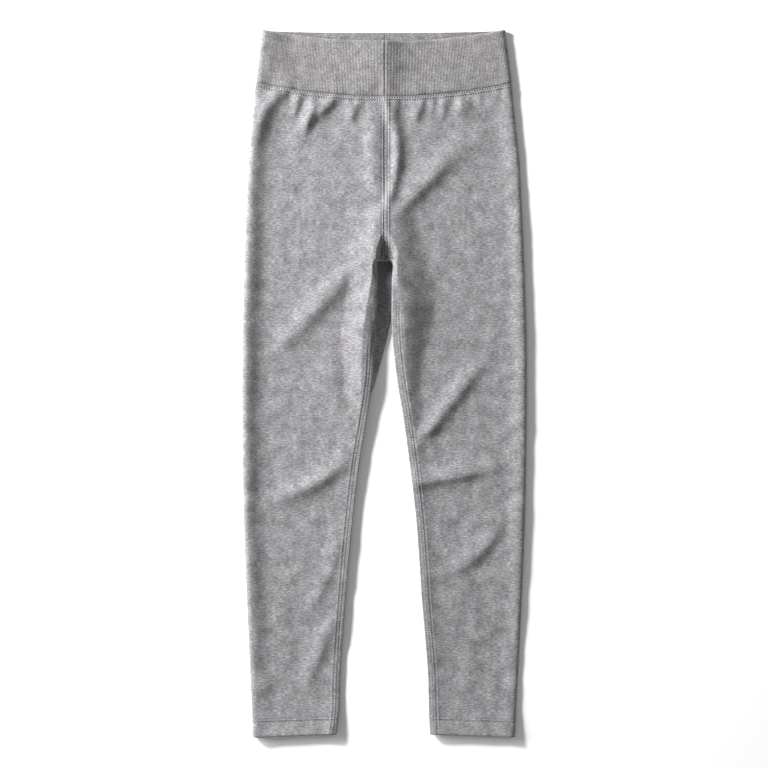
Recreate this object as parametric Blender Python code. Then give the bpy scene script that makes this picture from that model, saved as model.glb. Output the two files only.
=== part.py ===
"""A child's leggings laid flat, face up, on a level surface.

Four cut pieces, each a wall of cloth with its own node: two one-piece legs
and the two halves of a ribbed waistband. +Y points to the waist, +X to the
right of the picture plane and +Z up off the surface. The origin is at the
middle of the footprint, on the surface. Lengths below are in millimetres.
`drop` is the distance down from the top corners of the waistband, and every
table is read by it.
"""

import math
from collections import namedtuple

import bpy

MM = 0.001

# Whole garment
LENGTH = 707.5                 # band corner to hem, straight down the side
SEAM_GAP = 0.3                 # clearance between neighbouring pieces

# Cloth
LEG_CLOTH = 1.25               # wall of the brushed jersey
HEM_CLOTH = 2.5                # the same cloth turned up once
HEM_DEPTH = 17.5
BAND_CLOTH = 2.2               # rib folded in two
RIB_PITCH = 3.0
RIB_RISE = 0.45
RIB_FADE_START = 2.5           # the ribs die out round the side folds, to this height,
RIB_FADE_END = 6.5             # from this one, and the underside is plain

# Waistband
BAND_HALF_TOP = 121.8
BAND_HALF_BOTTOM = 128.2
BAND_FRONT_DIP = 11.3          # how far the front edge sags below its corners
BAND_BACK_DIP = 2.0
BAND_SEAM_SIDE = 52.6          # drop of the waist seam at the side fold
BAND_SEAM_CENTRE = 66.3        # and at the centre front
BAND_SEAM_BACK = 57.0          # and at the centre back
BAND_RISE = 9.6                # height of the front wall's outer face
BAND_CF_RISE = 0.8             # bulk of the centre front seam
BAND_CF_SPREAD = 12.0
BAND_EDGE_RISE = 0.5           # the front stands a little higher beside its side fold
BAND_EDGE_WIDTH = 22.0
BAND_FOLD_REACH = 4.8          # depth of the side fold, seen from above
BAND_ROUND = 1.1               # the fold along its top edge
RIB_FAN = 0.085                # the ribs splay out towards the top by this share

# Legs
FOLD_REACH = 5.6               # depth of a side fold, seen from above
OUTER_CREST = 7.5              # the roll's crest, in from the outer edge
OUTER_CREST_RISE = 1.7
OUTER_CREST_WIDTH = 7.0
INNER_CREST = 10.0
INNER_CREST_RISE = 1.9
INNER_CREST_WIDTH = 7.0
HEM_TILT = 2.9                 # the hem's inner corner lies higher by this much
HEM_TILT_REACH = 60.0          # the rows above the hem take up its tilt over this length
HEM_ROUND = 0.8
HEM_STEP = 1.5                 # the wall thickens to the hem's over this length

# Crotch
CROTCH_DROP = 231.8            # lower edge of the cloth between the legs
CROTCH_HALF = 8.1              # half the gap just under it
CROTCH_CORNER = 2.6            # radius of its corners
CROTCH_RISE = 3.7              # height of the cloth there
VALLEY_TOP = 196.0             # the crease between the legs starts here
VALLEY_END = 221.8             # and is as deep as the crotch from here
VALLEY_HALF_TOP = 3.0
VALLEY_HALF_END = 13.6
VALLEY_FADE = 12.0             # it runs out over this length below the crotch
INNER_CREST_START = 216.0      # the roll beside the inner edge starts here
INNER_CREST_RUN = 24.0

Edge = namedtuple("Edge", "drop left right")
Level = namedtuple("Level", "drop value")
Fold = namedtuple("Fold", "x0 drop0 x1 drop1 x2 drop2 rise half_width")
CrotchRow = namedtuple("CrotchRow", "turned below reach inset side_drop fan")

OUTER_EDGE = (
    Edge(50, 129.0, 127.4),
    Edge(90, 131.7, 131.0),
    Edge(130, 135.0, 135.0),
    Edge(170, 137.3, 137.1),
    Edge(210, 138.8, 138.9),
    Edge(250, 140.0, 140.2),
    Edge(310, 141.5, 142.0),
    Edge(390, 142.0, 142.2),
    Edge(450, 141.2, 141.4),
    Edge(510, 139.7, 139.6),
    Edge(570, 137.6, 137.0),
    Edge(630, 135.0, 134.2),
    Edge(680, 132.6, 131.6),
    Edge(707, 131.3, 130.3),
)

INNER_EDGE = (
    Edge(228, 8.2, 8.0),
    Edge(250, 7.4, 6.0),
    Edge(270, 7.6, 5.7),
    Edge(290, 8.4, 5.9),
    Edge(310, 9.7, 8.2),
    Edge(350, 12.0, 13.4),
    Edge(390, 18.0, 19.9),
    Edge(430, 25.0, 25.4),
    Edge(490, 32.1, 32.6),
    Edge(570, 39.1, 38.1),
    Edge(650, 44.6, 44.3),
    Edge(686, 45.8, 44.9),
    Edge(705, 48.2, 46.0),
)

SEAM_INSET = (                 # from the inner edge in to the inseam
    Level(240, 4.4),
    Level(258, 6.2),
    Level(350, 6.2),
    Level(400, 4.4),
    Level(470, 4.6),
    Level(705, 4.6),
)

FRONT_RISE = (                 # height of the front wall away from any fold
    Level(50, 9.0),
    Level(90, 8.7),
    Level(400, 8.7),
    Level(600, 8.9),
    Level(670, 9.6),
    Level(692, 10.6),
    Level(707, 10.6),
)

CREST_SHARE = (                # how much of a side roll's crest is left
    Level(50, 0.25),
    Level(90, 0.7),
    Level(140, 1.0),
    Level(600, 1.0),
    Level(660, 0.7),
    Level(695, 0.1),
    Level(707, 0.0),
)

# Folds of the front wall: a soft ridge whose crest follows the curve through its
# two ends, pulled towards its middle point.
FOLDS = (
    # the pull from the crotch out to the left thigh
    Fold(-14, 214, -47, 256, -110, 322, 1.6, 11),
    # left knee and shin
    Fold(-35, 426, -54, 451, -105, 464, 1.4, 10),
    Fold(-50, 543, -60, 562, -78, 584, 1.1, 9),
    # puckers below the waist seam, left
    Fold(-98, 70, -122, 90, -130, 150, 1.0, 9),
    Fold(-62, 72, -72, 88, -81, 112, 1.1, 8),
    Fold(-10, 78, -10, 135, -9, 196, 1.2, 8),
    # puckers below the waist seam, right
    Fold(12, 80, 14, 112, 12, 150, 1.1, 8),
    Fold(84, 70, 86, 84, 80, 100, 0.8, 8),
    # the pull from the crotch up to the right hip
    Fold(13, 184, 30, 166, 60, 122, 1.5, 9),
    # right thigh
    Fold(92, 334, 72, 362, 36, 402, 1.7, 10),
    # right knee and shin
    Fold(38, 444, 80, 438, 120, 430, 1.2, 9),
    Fold(110, 492, 92, 526, 50, 548, 1.4, 10),
)

# Rows round the crotch, from the centre line to the leg. The edge has turned from
# straight across by an angle, `below` is past the corner, reach and inset are the
# fold's depth and the inseam's place, side_drop is where the row ends at the side,
# and fan is the angle at which it leaves the inseam.
CROTCH_ROWS = (
    CrotchRow(0, 0.0, 2.4, 2.4, 214.5, 42),
    CrotchRow(0, 0.0, 2.4, 2.4, 222.0, 34),
    CrotchRow(50, 0.0, 4.2, 3.2, 229.5, 18),
    CrotchRow(90, 3.0, 5.2, 4.2, 238.0, 6),
)

# Grids
UPPER_ROWS = 15                # from the waist seam down to the crotch
UPPER_END_SIDE = 206.0         # the last of them, at the side
UPPER_END_CENTRE = 218.0       # and at the centre front
LEG_START = 248.0
LEG_STEP = 11.8
FRONT_COLUMNS = 13
OUTER_ROLL_STEPS = 4
INNER_ROLL_STEPS = 4
BACK_STEPS = 4
FAN_STEP = 9.5                 # first step of a row away from the inseam
FOLD_SAMPLES = 13
FOLD_CUT = 0.08                # share of a fold's arch that is cut off at each end
FOLD_FULLNESS = 0.7            # below 1, a fold keeps its rise nearer to its ends
BAND_ROWS = 6
BAND_BACK_STEPS = 4
BAND_ROLL_TURNS = 12


def clamp(value, low, high):
    return max(low, min(high, value))


def ease(value):
    """0 below 0, 1 above 1, with a smooth S between."""
    value = clamp(value, 0.0, 1.0)
    return value * value * (3.0 - 2.0 * value)


def bell(value):
    return math.exp(-value * value)


def mix(a, b, share):
    return a + (b - a) * share


def along(table, drop, column=1):
    """A smooth curve through one column of a table."""
    drop = clamp(drop, table[0][0], table[-1][0])
    k = 0
    while k < len(table) - 2 and drop > table[k + 1][0]:
        k += 1

    def slope(i):
        low, high = max(i - 1, 0), min(i + 1, len(table) - 1)
        return (table[high][column] - table[low][column]) / (table[high][0] - table[low][0])

    span = table[k + 1][0] - table[k][0]
    t = (drop - table[k][0]) / span
    start, end = table[k][column], table[k + 1][column]
    return (
        start * (2 * t**3 - 3 * t**2 + 1)
        + end * (3 * t**2 - 2 * t**3)
        + slope(k) * span * (t**3 - 2 * t**2 + t)
        + slope(k + 1) * span * (t**3 - t**2)
    )


def outer_edge(side, drop):
    return along(OUTER_EDGE, drop, 1 if side < 0 else 2)


def inner_edge(side, drop):
    return along(INNER_EDGE, drop, 1 if side < 0 else 2)


def front_seam(x):
    """Drop of the waist seam on the front."""
    sag = 1.0 - (x / BAND_HALF_BOTTOM) ** 2
    return BAND_SEAM_SIDE + (BAND_SEAM_CENTRE - BAND_SEAM_SIDE) * sag


def back_seam(x):
    sag = 1.0 - (x / BAND_HALF_BOTTOM) ** 2
    return BAND_SEAM_SIDE + (BAND_SEAM_BACK - BAND_SEAM_SIDE) * sag


# ---------------------------------------------------------------------------
# Height of the front wall
# ---------------------------------------------------------------------------

def curve_points(fold):
    """Points along a fold, each with its share of the fold's rise."""
    points = []
    for k in range(FOLD_SAMPLES):
        t = k / (FOLD_SAMPLES - 1)
        a, b, c = (1 - t) ** 2, 2 * t * (1 - t), t * t
        x = a * fold.x0 + b * fold.x1 + c * fold.x2
        drop = a * fold.drop0 + b * fold.drop1 + c * fold.drop2
        arch = math.sin(math.pi * mix(FOLD_CUT, 1.0 - FOLD_CUT, t))
        points.append((x, drop, arch**FOLD_FULLNESS))
    return points


FOLD_CURVES = [(fold, curve_points(fold)) for fold in FOLDS]


def fold_rise(x, drop):
    """Sum of the folds at a place on the front."""
    total = 0.0
    for fold, points in FOLD_CURVES:
        best = None
        for (ax, ad, ashare), (bx, bd, bshare) in zip(points, points[1:]):
            ux, ud = bx - ax, bd - ad
            t = clamp(((x - ax) * ux + (drop - ad) * ud) / (ux * ux + ud * ud), 0.0, 1.0)
            away = math.hypot(x - ax - t * ux, drop - ad - t * ud)
            if best is None or away < best[0]:
                best = (away, mix(ashare, bshare, t))
        total += fold.rise * best[1] * bell(best[0] / fold.half_width)
    return total


def front_rise(side, x, drop):
    """Height of the front wall's outer face, short of the side folds' curves."""
    from_outer = outer_edge(side, drop) - abs(x)
    share = along(CREST_SHARE, drop)
    rise = along(FRONT_RISE, drop) + fold_rise(x, drop)
    rise += share * OUTER_CREST_RISE * bell((from_outer - OUTER_CREST) / OUTER_CREST_WIDTH)
    below_crotch = ease((drop - INNER_CREST_START) / INNER_CREST_RUN)
    from_inner = abs(x) - inner_edge(side, drop)
    crest = bell((from_inner - INNER_CREST) / INNER_CREST_WIDTH)
    rise += share * below_crotch * INNER_CREST_RISE * crest
    into_valley = ease((drop - VALLEY_TOP) / (VALLEY_END - VALLEY_TOP))
    over_valley = ease(abs(x) / mix(VALLEY_HALF_TOP, VALLEY_HALF_END, into_valley))
    depth = into_valley * (1.0 - ease((drop - CROTCH_DROP) / VALLEY_FADE))
    floor = mix(rise, CROTCH_RISE, depth)
    return mix(floor, rise, over_valley)


# ---------------------------------------------------------------------------
# Side folds
# ---------------------------------------------------------------------------

class SideFold:
    """The round edge where a wall turns from the back to the front.

    foot is the outermost point as (x, drop), out the direction that the edge
    faces, reach its depth seen from above and rise the height of its top.
    """

    def __init__(self, foot, out, reach, rise):
        self.foot = foot
        self.out = out
        self.reach = reach
        self.rise = rise

    def place(self, inset, height):
        return (
            self.foot[0] - self.out[0] * inset,
            self.foot[1] - self.out[1] * inset,
            height,
        )

    def at(self, turn, cloth):
        """A point at an angle round the fold, `cloth` in from the outer face."""
        half = self.rise / 2.0
        inset = self.reach - (self.reach - cloth) * math.sin(turn)
        return self.place(inset, half - (half - cloth) * math.cos(turn))

    def turn_at(self, inset):
        """The angle at which the upper part of the fold is `inset` from the edge."""
        return math.pi - math.asin(clamp(1.0 - inset / self.reach, 0.0, 1.0))


def leg_cloth(drop):
    into_hem = (drop - (LENGTH - HEM_DEPTH)) / HEM_STEP
    return mix(LEG_CLOTH, HEM_CLOTH, clamp(into_hem, 0.0, 1.0))


# ---------------------------------------------------------------------------
# Walls
# ---------------------------------------------------------------------------

class Wall:
    """A wall of cloth on a grid: an outer and an inner point at each key."""

    def __init__(self):
        self.outer = {}
        self.inner = {}
        self.rim = {}

    def add(self, key, outer, inner):
        self.outer[key] = outer
        self.inner[key] = inner

    def round_off(self, keys, reach):
        """Give an edge of the wall a rounded rim that stands out by `reach`."""
        for key in keys:
            pairs = zip(self.outer[key], self.inner[key])
            middle = [(a + b) / 2.0 for a, b in pairs]
            self.rim[key] = (middle[0], middle[1] + reach, middle[2])

    def quads(self):
        for i, j in self.outer:
            corners = ((i, j), (i, j + 1), (i + 1, j + 1), (i + 1, j))
            if all(corner in self.outer for corner in corners):
                yield corners

    def split(self, quad):
        """Two triangles, cut along a fold rather than across it."""
        a, b, c, d = quad
        across_ac = abs(self.outer[a][2] - self.outer[c][2])
        across_bd = abs(self.outer[b][2] - self.outer[d][2])
        if across_ac < across_bd:
            return (a, b, c), (a, c, d)
        return (a, b, d), (b, c, d)

    def faces(self):
        """All faces by (layer, key), turned outwards for a wall that runs to -X."""
        quads = list(self.quads())
        edges = dict.fromkeys(pair for quad in quads for pair in zip(quad, quad[1:] + quad[:1]))
        for quad in quads:
            for triangle in self.split(quad):
                yield [("outer", key) for key in triangle]
                yield [("inner", key) for key in reversed(triangle)]
        for a, b in edges:
            if (b, a) in edges:
                continue
            if a in self.rim and b in self.rim:
                yield [("outer", b), ("outer", a), ("rim", a), ("rim", b)]
                yield [("rim", b), ("rim", a), ("inner", a), ("inner", b)]
                continue
            yield [("outer", b), ("outer", a), ("inner", a), ("inner", b)]
            if b in self.rim:
                yield [("outer", b), ("inner", b), ("rim", b)]
            if a in self.rim:
                yield [("inner", a), ("outer", a), ("rim", a)]

    def mesh(self, name, mirrored):
        places = {}
        points = []
        for layer in ("outer", "inner", "rim"):
            for key, (x, drop, z) in getattr(self, layer).items():
                places[(layer, key)] = len(points)
                points.append((x * MM, (LENGTH / 2.0 - drop) * MM, z * MM))
        faces = [[places[corner] for corner in face] for face in self.faces()]
        if mirrored:
            faces = [face[::-1] for face in faces]
        mesh = bpy.data.meshes.new(name)
        mesh.from_pydata(points, [], faces)
        mesh.validate()
        return mesh


# ---------------------------------------------------------------------------
# Legs
# ---------------------------------------------------------------------------

def upper_row_drop(share, x, on_back):
    """Drop of a row above the crotch, which flattens out as it goes down."""
    side = mix(BAND_SEAM_SIDE, UPPER_END_SIDE, share)
    if on_back:
        centre = mix(BAND_SEAM_BACK, UPPER_END_CENTRE, share)
    else:
        centre = mix(BAND_SEAM_CENTRE, UPPER_END_CENTRE, share)
    return side + (centre - side) * (1.0 - clamp(abs(x) / BAND_HALF_BOTTOM, 0.0, 1.0) ** 2)


def outer_side_fold(side, drop):
    edge = outer_edge(side, drop)
    rise = front_rise(side, side * (edge - FOLD_REACH), drop)
    return SideFold((side * edge, drop), (side, 0.0), FOLD_REACH, rise)


def add_front(wall, side, i, row_drop, first, fold, cloth):
    """The front of one row, from its second point out to the side fold.

    The row runs straight from `first`, unless row_drop gives its drop by x.
    """
    end = fold.place(fold.reach, 0.0)
    for j in range(1, FRONT_COLUMNS):
        share = (j - 1) / (FRONT_COLUMNS - 1)
        x = mix(first[0], end[0], share)
        drop = row_drop(x) if row_drop else mix(first[1], end[1], share)
        z = front_rise(side, x, drop)
        wall.add((i, j), (x, drop, z), (x, drop, z - cloth))


def add_roll(wall, i, first_column, fold, turns, cloth):
    for k, turn in enumerate(turns):
        wall.add((i, first_column + k), fold.at(turn, 0.0), fold.at(turn, cloth))


def add_back(wall, i, start, end, row_drop, cloth):
    """The flat back of one row, between its side fold and its inner end."""
    for k in range(1, BACK_STEPS):
        x = mix(start[0], end[0], k / BACK_STEPS)
        drop = row_drop(x) if row_drop else mix(start[1], end[1], k / BACK_STEPS)
        wall.add((i, BACK_COLUMN + k), (x, drop, 0.0), (x, drop, cloth))


def even_turns(start, end, steps):
    return [mix(start, end, k / steps) for k in range(steps + 1)]


OUTER_TURNS = even_turns(math.pi, 0.0, OUTER_ROLL_STEPS)
BACK_COLUMN = FRONT_COLUMNS + OUTER_ROLL_STEPS
INNER_COLUMN = BACK_COLUMN + BACK_STEPS


def upper_rows(wall, side):
    """Rows from the waist seam to the crotch: centre front round to centre back."""
    centre = side * SEAM_GAP / 2.0
    for i in range(UPPER_ROWS + 1):
        share = i / UPPER_ROWS
        gap = SEAM_GAP / 2.0 if i == 0 else 0.0

        def front_drop(x, share=share, gap=gap):
            return upper_row_drop(share, x, False) + gap

        def back_drop(x, share=share, gap=gap):
            return upper_row_drop(share, x, True) + gap

        drop = front_drop(centre)
        z = front_rise(side, centre, drop)
        wall.add((i, 0), (centre, drop, z), (centre, drop, z - LEG_CLOTH))
        fold = outer_side_fold(side, front_drop(BAND_HALF_BOTTOM))
        add_front(wall, side, i, front_drop, (centre + side * FAN_STEP, drop), fold, LEG_CLOTH)
        add_roll(wall, i, FRONT_COLUMNS, fold, OUTER_TURNS, LEG_CLOTH)
        for k, turn in enumerate(OUTER_TURNS):
            for layer in (wall.outer, wall.inner):
                x, _, z = layer[(i, FRONT_COLUMNS + k)]
                drop = mix(front_drop(x), back_drop(x), ease(1.0 - turn / math.pi))
                layer[(i, FRONT_COLUMNS + k)] = (x, drop, z)
        add_back(wall, i, wall.outer[(i, BACK_COLUMN)], (centre, 0.0), back_drop, LEG_CLOTH)
        drop = back_drop(centre)
        wall.add((i, INNER_COLUMN), (centre, drop, 0.0), (centre, drop, LEG_CLOTH))


def crotch_folds(side):
    """The inner edge from the centre of the crotch, round its corner, to the leg."""
    folds = []
    for k, row in enumerate(CROTCH_ROWS):
        turned = math.radians(row.turned)
        x = CROTCH_HALF - CROTCH_CORNER * (1.0 - math.sin(turned))
        if k == 0:
            x = SEAM_GAP / 2.0
        drop = CROTCH_DROP + CROTCH_CORNER * (1.0 - math.cos(turned)) + row.below
        out = (-side * math.sin(turned), math.cos(turned))
        top = (side * x - out[0] * row.reach, drop - out[1] * row.reach)
        rise = front_rise(side, *top)
        folds.append(SideFold((side * x, drop), out, row.reach, rise))
    return folds


def leg_inner_fold(side, drop):
    inset = along(SEAM_INSET, drop)
    reach = max(FOLD_REACH, inset)
    edge = inner_edge(side, drop)
    rise = front_rise(side, side * (edge + reach), drop)
    return SideFold((side * edge, drop), (-side, 0.0), reach, rise), inset


def closed_row(wall, side, i, outer_drop, inner, inset, fan, cloth):
    """A row of the leg: from the inseam over the front, back and inner fold."""
    fold = outer_side_fold(side, outer_drop)
    half = SEAM_GAP / 2.0
    seam_turn = inner.turn_at(inset + half)
    wall.add((i, 0), inner.at(seam_turn, 0.0), inner.at(seam_turn, cloth))
    if inset >= inner.reach:
        x, drop, _ = inner.place(inset + half, 0.0)
        z = front_rise(side, x, drop)
        wall.add((i, 0), (x, drop, z), (x, drop, z - cloth))
    seam = wall.outer[(i, 0)]
    first = (seam[0] + side * FAN_STEP * math.cos(fan), seam[1] - FAN_STEP * math.sin(fan))
    add_front(wall, side, i, None, first, fold, cloth)
    add_roll(wall, i, FRONT_COLUMNS, fold, OUTER_TURNS, cloth)
    back_turn = inner.turn_at(inset - half)
    add_roll(wall, i, INNER_COLUMN, inner, even_turns(0.0, back_turn, INNER_ROLL_STEPS), cloth)
    start, end = wall.outer[(i, BACK_COLUMN)], wall.outer[(i, INNER_COLUMN)]
    add_back(wall, i, start, end, None, cloth)


def make_leg(name, side, material):
    wall = Wall()
    upper_rows(wall, side)
    i = UPPER_ROWS
    for inner, row in zip(crotch_folds(side), CROTCH_ROWS):
        i += 1
        fan = math.radians(row.fan)
        closed_row(wall, side, i, row.side_drop, inner, row.inset, fan, LEG_CLOTH)
    hem_start = LENGTH - HEM_DEPTH
    steps = math.ceil((hem_start - LEG_START) / LEG_STEP)
    drops = [mix(LEG_START, hem_start, k / steps) for k in range(steps + 1)]
    drops += [hem_start + HEM_STEP, LENGTH - HEM_DEPTH / 2.0, LENGTH - HEM_ROUND]
    for drop in drops:
        i += 1
        into_tilt = (drop - hem_start + HEM_TILT_REACH) / (HEM_DEPTH + HEM_TILT_REACH)
        level = HEM_TILT * ease(into_tilt)
        inner, inset = leg_inner_fold(side, drop - level)
        closed_row(wall, side, i, drop, inner, inset, 0.0, leg_cloth(drop))
    last_row = [key for key in wall.outer if key[0] == i]
    wall.round_off(last_row, HEM_ROUND)
    return add_piece(name, wall.mesh(name, side > 0), material)


# ---------------------------------------------------------------------------
# Waistband
# ---------------------------------------------------------------------------

def band_section(half_width, side):
    """The path round one half of the band, from centre front to centre back.

    Returns the length of its flat front, the length of its side fold, and a
    function that reads x, z, the direction outwards (x, z) and the share of
    the way to the back at a length along the path.
    """
    flat = half_width - BAND_FOLD_REACH - SEAM_GAP / 2.0
    half = (BAND_RISE + BAND_EDGE_RISE) / 2.0
    turn_points = [(0.0, math.pi)]
    length = 0.0
    for k in range(1, BAND_ROLL_TURNS + 1):
        turn = math.pi * (1.0 - k / BAND_ROLL_TURNS)
        last = turn_points[-1][1]
        step_x = BAND_FOLD_REACH * (math.sin(turn) - math.sin(last))
        step_z = half * (math.cos(turn) - math.cos(last))
        length += math.hypot(step_x, step_z)
        turn_points.append((length, turn))
    roll = length

    def front_z(x):
        ridge = BAND_CF_RISE * bell(x / BAND_CF_SPREAD)
        edge = BAND_EDGE_RISE * ease((x - flat + BAND_EDGE_WIDTH) / BAND_EDGE_WIDTH)
        return BAND_RISE + ridge + edge

    def read(s):
        if s <= flat:
            x = s + SEAM_GAP / 2.0
            return side * x, front_z(s), 0.0, 1.0, 0.0
        if s >= flat + roll:
            x = max(half_width - BAND_FOLD_REACH - (s - flat - roll), SEAM_GAP / 2.0)
            return side * x, 0.0, 0.0, -1.0, 1.0
        s -= flat
        k = 1
        while turn_points[k][0] < s:
            k += 1
        share = (s - turn_points[k - 1][0]) / (turn_points[k][0] - turn_points[k - 1][0])
        turn = mix(turn_points[k - 1][1], turn_points[k][1], share)
        x = half_width - BAND_FOLD_REACH + BAND_FOLD_REACH * math.sin(turn)
        z = half - half * math.cos(turn)
        return side * x, z, side * math.sin(turn), -math.cos(turn), 1.0 - turn / math.pi

    return flat, roll, read


def band_drop(x, on_back, share):
    """Drop at a share of the way up the band, from its seam to its top edge."""
    gap = SEAM_GAP / 2.0
    across = clamp(abs(x) / BAND_HALF_TOP, 0.0, 1.0)
    front_top = BAND_FRONT_DIP * (1.0 - across**2)
    back_top = BAND_BACK_DIP * (1.0 - across**4)
    front = mix(front_seam(x) - gap, front_top + BAND_ROUND, share)
    back = mix(back_seam(x) - gap, back_top + BAND_ROUND, share)
    return mix(front, back, ease(on_back))


def make_band(name, side, material):
    """One ribbed half: ribs raised on the outer face, the inner face plain."""
    wall = Wall()
    flat, roll, _ = band_section(BAND_HALF_BOTTOM, side)
    ribs = math.ceil((flat + roll) / (RIB_PITCH / 2.0))
    for i in range(BAND_ROWS + 1):
        share = 1.0 - i / BAND_ROWS
        flat, roll, read = band_section(mix(BAND_HALF_BOTTOM, BAND_HALF_TOP, share), side)
        fan = 1.0 + RIB_FAN * share
        for j in range(ribs + 1):
            s = j * RIB_PITCH / 2.0 * fan
            x, z, out_x, out_z, on_back = read(s)
            fade = ease((z - RIB_FADE_START) / (RIB_FADE_END - RIB_FADE_START))
            lift = RIB_RISE * (j % 2) * fade
            drop = band_drop(x, on_back, share)
            wall.add(
                (i, j),
                (x + out_x * lift, drop, z + out_z * lift),
                (x - out_x * BAND_CLOTH, drop, z - out_z * BAND_CLOTH),
            )
        start = ribs * RIB_PITCH / 2.0 * fan
        end = 2.0 * flat + roll
        for k in range(1, BAND_BACK_STEPS + 1):
            x, z, out_x, out_z, on_back = read(mix(start, end, k / BAND_BACK_STEPS))
            drop = band_drop(x, on_back, share)
            wall.add((i, ribs + k), (x, drop, z), (x, drop, z - out_z * BAND_CLOTH))
    wall.round_off([key for key in wall.outer if key[0] == 0], -BAND_ROUND)
    return add_piece(name, wall.mesh(name, side > 0), material)


# ---------------------------------------------------------------------------
# Pieces
# ---------------------------------------------------------------------------

def make_material(name, colour, roughness):
    material = bpy.data.materials.new(name)
    material.use_nodes = True
    shader = material.node_tree.nodes["Principled BSDF"]
    shader.inputs["Base Color"].default_value = (*colour, 1.0)
    shader.inputs["Roughness"].default_value = roughness
    shader.inputs["Metallic"].default_value = 0.0
    material.diffuse_color = (*colour, 1.0)
    return material


def add_piece(name, mesh, material):
    mesh.materials.append(material)
    piece = bpy.data.objects.new(name, mesh)
    bpy.context.scene.collection.objects.link(piece)
    mesh.shade_smooth()
    mesh.set_sharp_from_angle(angle=math.radians(35.0))
    return piece


def main():
    for piece in list(bpy.data.objects):
        bpy.data.objects.remove(piece, do_unlink=True)
    jersey = make_material("heather_jersey", (0.33, 0.33, 0.34), 0.92)
    rib = make_material("heather_rib", (0.38, 0.375, 0.365), 0.92)
    make_leg("leg_left", -1, jersey)
    make_leg("leg_right", 1, jersey)
    make_band("waistband_left", -1, rib)
    make_band("waistband_right", 1, rib)


main()
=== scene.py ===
import math
import random

import bpy
import numpy as np
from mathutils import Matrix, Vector


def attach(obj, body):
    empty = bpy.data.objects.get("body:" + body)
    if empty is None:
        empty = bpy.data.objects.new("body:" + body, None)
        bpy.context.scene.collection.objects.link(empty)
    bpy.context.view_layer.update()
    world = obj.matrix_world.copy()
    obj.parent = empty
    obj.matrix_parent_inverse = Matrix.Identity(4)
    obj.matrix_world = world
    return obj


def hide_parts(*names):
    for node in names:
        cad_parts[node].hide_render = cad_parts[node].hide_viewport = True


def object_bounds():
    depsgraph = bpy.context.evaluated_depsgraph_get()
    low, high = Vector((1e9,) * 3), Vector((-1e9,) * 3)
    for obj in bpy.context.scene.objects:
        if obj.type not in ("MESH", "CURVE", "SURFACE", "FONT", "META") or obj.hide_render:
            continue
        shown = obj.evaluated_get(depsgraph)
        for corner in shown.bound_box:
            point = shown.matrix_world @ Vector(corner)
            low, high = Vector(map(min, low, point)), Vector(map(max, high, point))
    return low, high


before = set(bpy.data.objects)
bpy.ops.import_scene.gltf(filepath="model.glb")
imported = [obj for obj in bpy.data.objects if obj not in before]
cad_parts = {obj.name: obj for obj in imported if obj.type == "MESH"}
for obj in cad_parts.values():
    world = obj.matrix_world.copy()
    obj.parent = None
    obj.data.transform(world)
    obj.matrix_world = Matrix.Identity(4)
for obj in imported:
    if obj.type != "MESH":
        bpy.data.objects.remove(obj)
cadLow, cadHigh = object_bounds()
bpy.ops.object.select_all(action="DESELECT")
print("frame loaded:", ", ".join(sorted(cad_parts)))

# Lengths are in millimetres. drop is the distance down from the waistband's top corners.
# side is -1 for what lies on the left and 1 for what lies on the right.
mm = 0.001
garmentLength = (cadHigh.y - cadLow.y) / mm

# columns: drop, left edge, right edge
outerEdge = (
    (50, 129.6, 126.8), (90, 132.5, 130.6), (130, 136.0, 134.8), (170, 138.3, 137.0),
    (210, 139.8, 138.9), (250, 141.0, 140.4), (310, 142.4, 142.2), (390, 142.8, 142.2),
    (450, 142.0, 141.4), (510, 140.4, 139.7), (570, 138.1, 137.2), (630, 135.4, 134.3),
    (680, 133.1, 131.6), (708, 131.8, 130.3),
)
innerEdge = (
    (228, 8.2, 7.9), (250, 7.4, 7.0), (270, 7.6, 6.8), (290, 8.4, 6.7), (310, 9.7, 7.8),
    (350, 12.0, 12.2), (390, 18.0, 18.7), (430, 25.0, 24.2), (490, 32.1, 31.2),
    (570, 39.1, 36.9), (650, 44.6, 43.2), (686, 45.8, 44.1), (705, 48.2, 45.0),
)


def clampTo(value, low, high):
    return np.minimum(np.maximum(value, low), high)


def smooth(value):
    value = clampTo(value, 0.0, 1.0)
    return value * value * (3.0 - 2.0 * value)


def bell(value):
    return np.exp(-value * value)


def mix(a, b, share):
    return a + (b - a) * share


def bells(value, table, start=0.0):    # a sum of bells. columns: height, middle, width
    return sum((height * bell((value - middle) / width) for height, middle, width in table), start)


def fadeIn(value, start, length):    # 0 at the start, 1 a length further on
    return smooth((value - start) / length)


def fadeOut(value, end, length):    # 1 until a length before the end, and 0 there
    return smooth((end - value) / length)


def evenly(start, end, count):    # even steps up to the end, without the start
    return np.linspace(start, end, count + 1)[1:]


def runLength(line):    # how far along a line each of its points lies
    return np.concatenate(([0], np.cumsum(np.linalg.norm(np.diff(line, axis=0), axis=1))))


def curve(table, drop, column=1):    # a smooth line through one column of a table
    table = np.asarray(table, dtype=float)
    drop = clampTo(np.asarray(drop, dtype=float), table[0, 0], table[-1, 0])
    slopes = np.gradient(table[:, column], table[:, 0])
    k = clampTo(np.searchsorted(table[:, 0], drop, side="right") - 1, 0, len(table) - 2)
    span = table[k + 1, 0] - table[k, 0]
    t = (drop - table[k, 0]) / span
    return (
        table[k, column] * (2 * t**3 - 3 * t**2 + 1)
        + table[k + 1, column] * (3 * t**2 - 2 * t**3)
        + slopes[k] * span * (t**3 - 2 * t**2 + t)
        + slopes[k + 1] * span * (t**3 - t**2)
    )


def sideColumn(side):    # of a table whose columns are drop, left, right
    return 1 if side < 0 else 2


def bySide(pair, side):    # the left or the right one
    return pair[sideColumn(side) - 1]


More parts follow.
